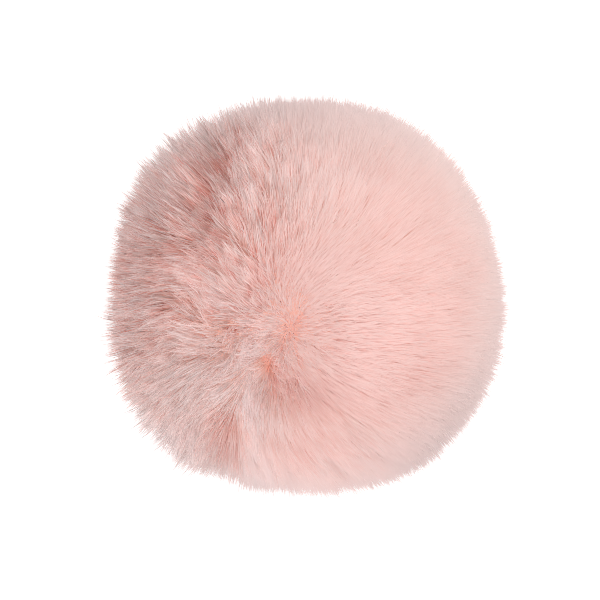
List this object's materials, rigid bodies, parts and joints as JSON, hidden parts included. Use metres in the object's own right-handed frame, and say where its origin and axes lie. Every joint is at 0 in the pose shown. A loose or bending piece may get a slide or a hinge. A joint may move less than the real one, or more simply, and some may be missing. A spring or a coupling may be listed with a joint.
{
  "type": "faux fur pom pom",
  "caption": "Fluffy round pom pom of long faux fur pile, a slightly squarish ball with soft partings and a whorl, resting on a small flat spot; a trim for hats, bags and garments.",
  "frame": {"origin": "middle of the flat spot that the pom pom rests on, under the middle of its outline", "axes": "+Z up, away from the surface and towards the face with the whorl; +X to the right and +Y up in the view from above"},
  "size_m": [0.0994, 0.0986, 0.0943],
  "materials": {
    "fur": "long, dense, soft acrylic pile, pale peach pink with paler tips"
  },
  "bodies": {
    "root": {"fur_ball": "fur"}
  },
  "joints": []
}
